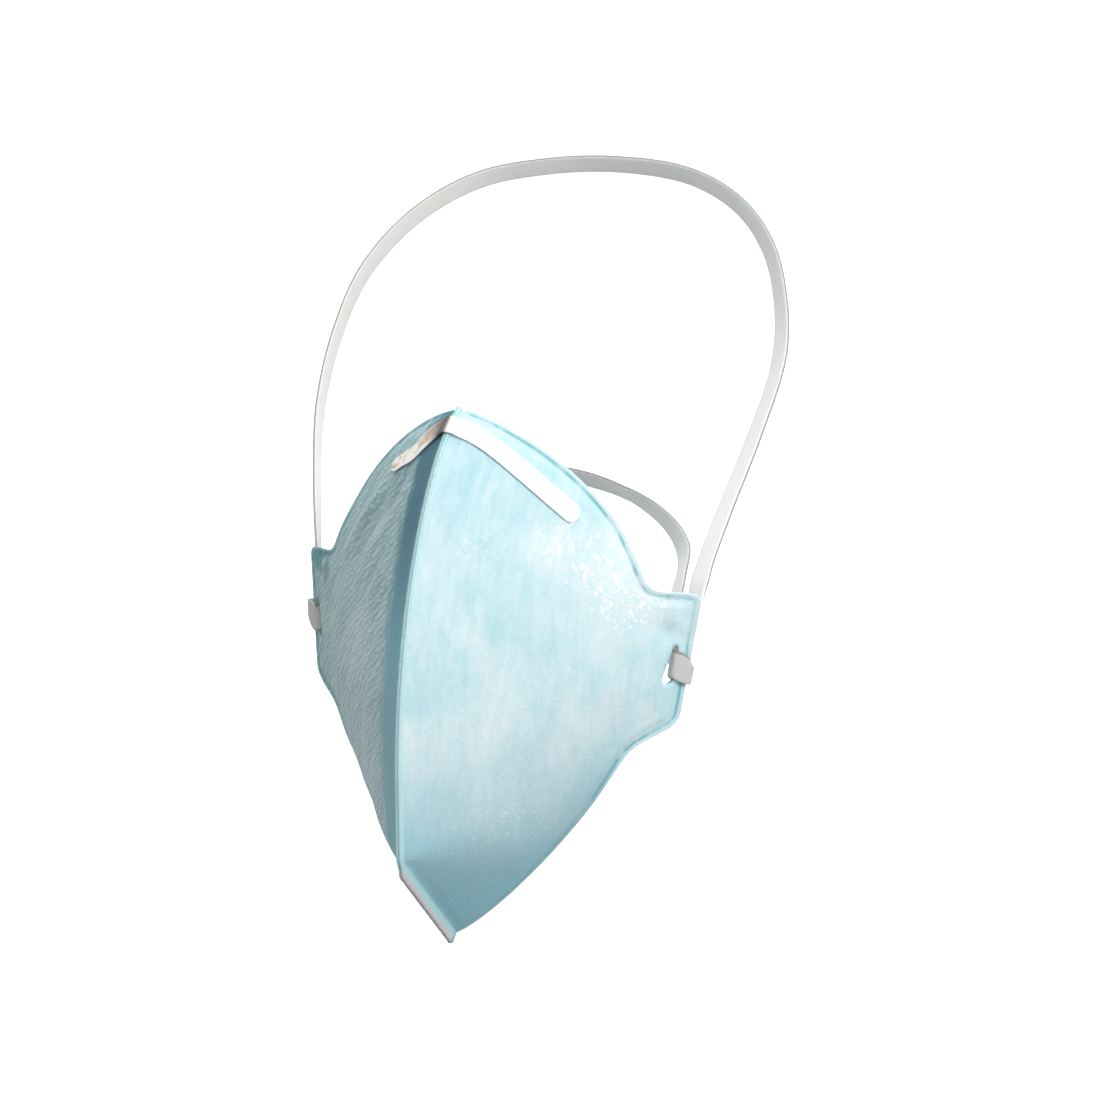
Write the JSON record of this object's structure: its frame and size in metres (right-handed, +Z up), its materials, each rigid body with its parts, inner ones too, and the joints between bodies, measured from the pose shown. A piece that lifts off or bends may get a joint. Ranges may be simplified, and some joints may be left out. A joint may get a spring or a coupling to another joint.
{
  "type": "disposable respirator",
  "caption": "Fold-flat nonwoven face mask, opened out, with a curved front seam, a bent nose clip, slotted side tabs and a continuous elastic strap looped for crown and neck.",
  "frame": {"origin": "centre of the face opening, midway between the two strap tabs", "axes": "+X across the face to the mask's own left (the picture's right), +Y from the front ridge back through the face, +Z up towards the nose"},
  "size_m": [0.1659, 0.2268, 0.2079],
  "materials": {
    "shell_nonwoven": "matt thermally bonded nonwoven, light blue",
    "clip_aluminium": "satin strip, pale",
    "strap_elastic": "smooth matt elastic band, off-white"
  },
  "bodies": {
    "root": {"panel_right": "shell_nonwoven", "panel_left": "shell_nonwoven", "nose_clip": "clip_aluminium", "head_strap": "strap_elastic"}
  },
  "joints": []
}
